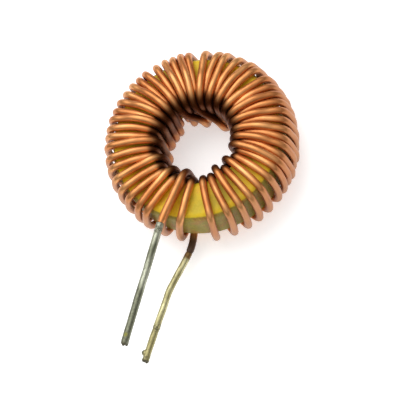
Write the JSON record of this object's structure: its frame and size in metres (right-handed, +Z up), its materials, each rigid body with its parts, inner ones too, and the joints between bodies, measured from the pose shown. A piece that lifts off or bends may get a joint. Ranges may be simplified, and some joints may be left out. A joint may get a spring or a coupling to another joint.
{
  "type": "toroidal inductor",
  "caption": "Ring core wound all round with one length of enamelled copper wire, with two parallel soldered leads.",
  "frame": {"origin": "on the axis of the ring core, in the plane that the lowest turn of the winding rests on", "axes": "+Z up along the core's axis, -Y the way the two leads run out from the winding, +X to the right of them"},
  "size_m": [0.0198, 0.0326, 0.008],
  "materials": {
    "painted_core": "satin",
    "enamelled_copper": "gloss",
    "solder": "satin"
  },
  "bodies": {
    "root": {"core": "painted_core", "winding": "enamelled_copper", "start_lead_tinning": "solder", "finish_lead_tinning": "solder"}
  },
  "joints": []
}
